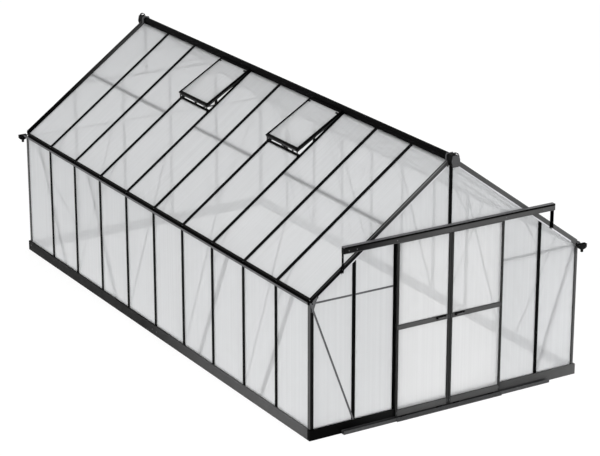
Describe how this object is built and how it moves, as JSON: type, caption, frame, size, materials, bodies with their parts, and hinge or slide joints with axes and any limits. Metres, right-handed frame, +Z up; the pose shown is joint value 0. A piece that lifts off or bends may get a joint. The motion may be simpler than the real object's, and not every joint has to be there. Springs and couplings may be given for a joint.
{
  "type": "polycarbonate greenhouse",
  "caption": "Long walk-in greenhouse: black profile frame on a base ring, clear twin-wall sheets, hinged roof vents, gutters, and double sliding doors in one gable.",
  "frame": {"origin": "on the ground, at the middle of the base ring, with the outlets at the two opposite corners", "axes": "+Z up; the door gable faces -Y and +Y runs along the ridge; +X to the right of someone facing the doors"},
  "size_m": [3.176, 6.17, 2.53],
  "materials": {
    "black_paint": "satin black powder coat",
    "black_plastic": "moulded, lightly textured",
    "clear_sheet": "clear twin-wall sheet with fine flutes"
  },
  "bodies": {
    "root": {"side_bases": "black_paint", "end_bases": "black_paint", "base_splices": "black_paint", "corner_posts": "black_paint", "wall_studs": "black_paint", "gable_studs": "black_paint", "door_jambs": "black_paint", "gable_rails": "black_paint", "gable_rafters": "black_paint", "eave_beams": "black_paint", "gutter_floors": "black_paint", "gutter_sides": "black_paint", "ridge_beam": "black_paint", "roof_bars": "black_paint", "roof_purlins": "black_paint", "collar_ties": "black_paint", "frame_struts": "black_paint", "side_wall_braces": "black_paint", "gable_bracing": "black_paint", "eave_gussets": "black_paint", "vent_frames": "black_paint", "vent_sills": "black_paint", "door_rail": "black_paint", "door_track": "black_paint", "threshold": "black_paint", "gutter_outlets": "black_plastic", "gutter_end_caps": "black_plastic", "ridge_end_caps": "black_plastic", "vent_stays": "black_plastic", "rail_brackets": "black_plastic", "left_wall_sheets": "clear_sheet", "right_wall_sheets": "clear_sheet", "left_roof_sheets": "clear_sheet", "right_roof_sheets": "clear_sheet", "front_gable_sheets": "clear_sheet", "back_gable_sheets": "clear_sheet", "vent_sheets": "clear_sheet"},
    "left_door": {"left_door_frame": "black_paint", "left_door_sheets": "clear_sheet", "left_door_handle": "black_plastic", "left_door_rollers": "black_plastic"},
    "right_door": {"right_door_frame": "black_paint", "right_door_sheets": "clear_sheet", "right_door_handle": "black_plastic", "right_door_rollers": "black_plastic"}
  },
  "joints": [
    {"name": "left_door_slide", "type": "slide", "parent": "root", "child": "left_door", "axis": [-1, 0, 0], "range_m": [0, 0.565]},
    {"name": "right_door_slide", "type": "slide", "parent": "root", "child": "right_door", "axis": [1, 0, 0], "range_m": [0, 0.565]}
  ]
}
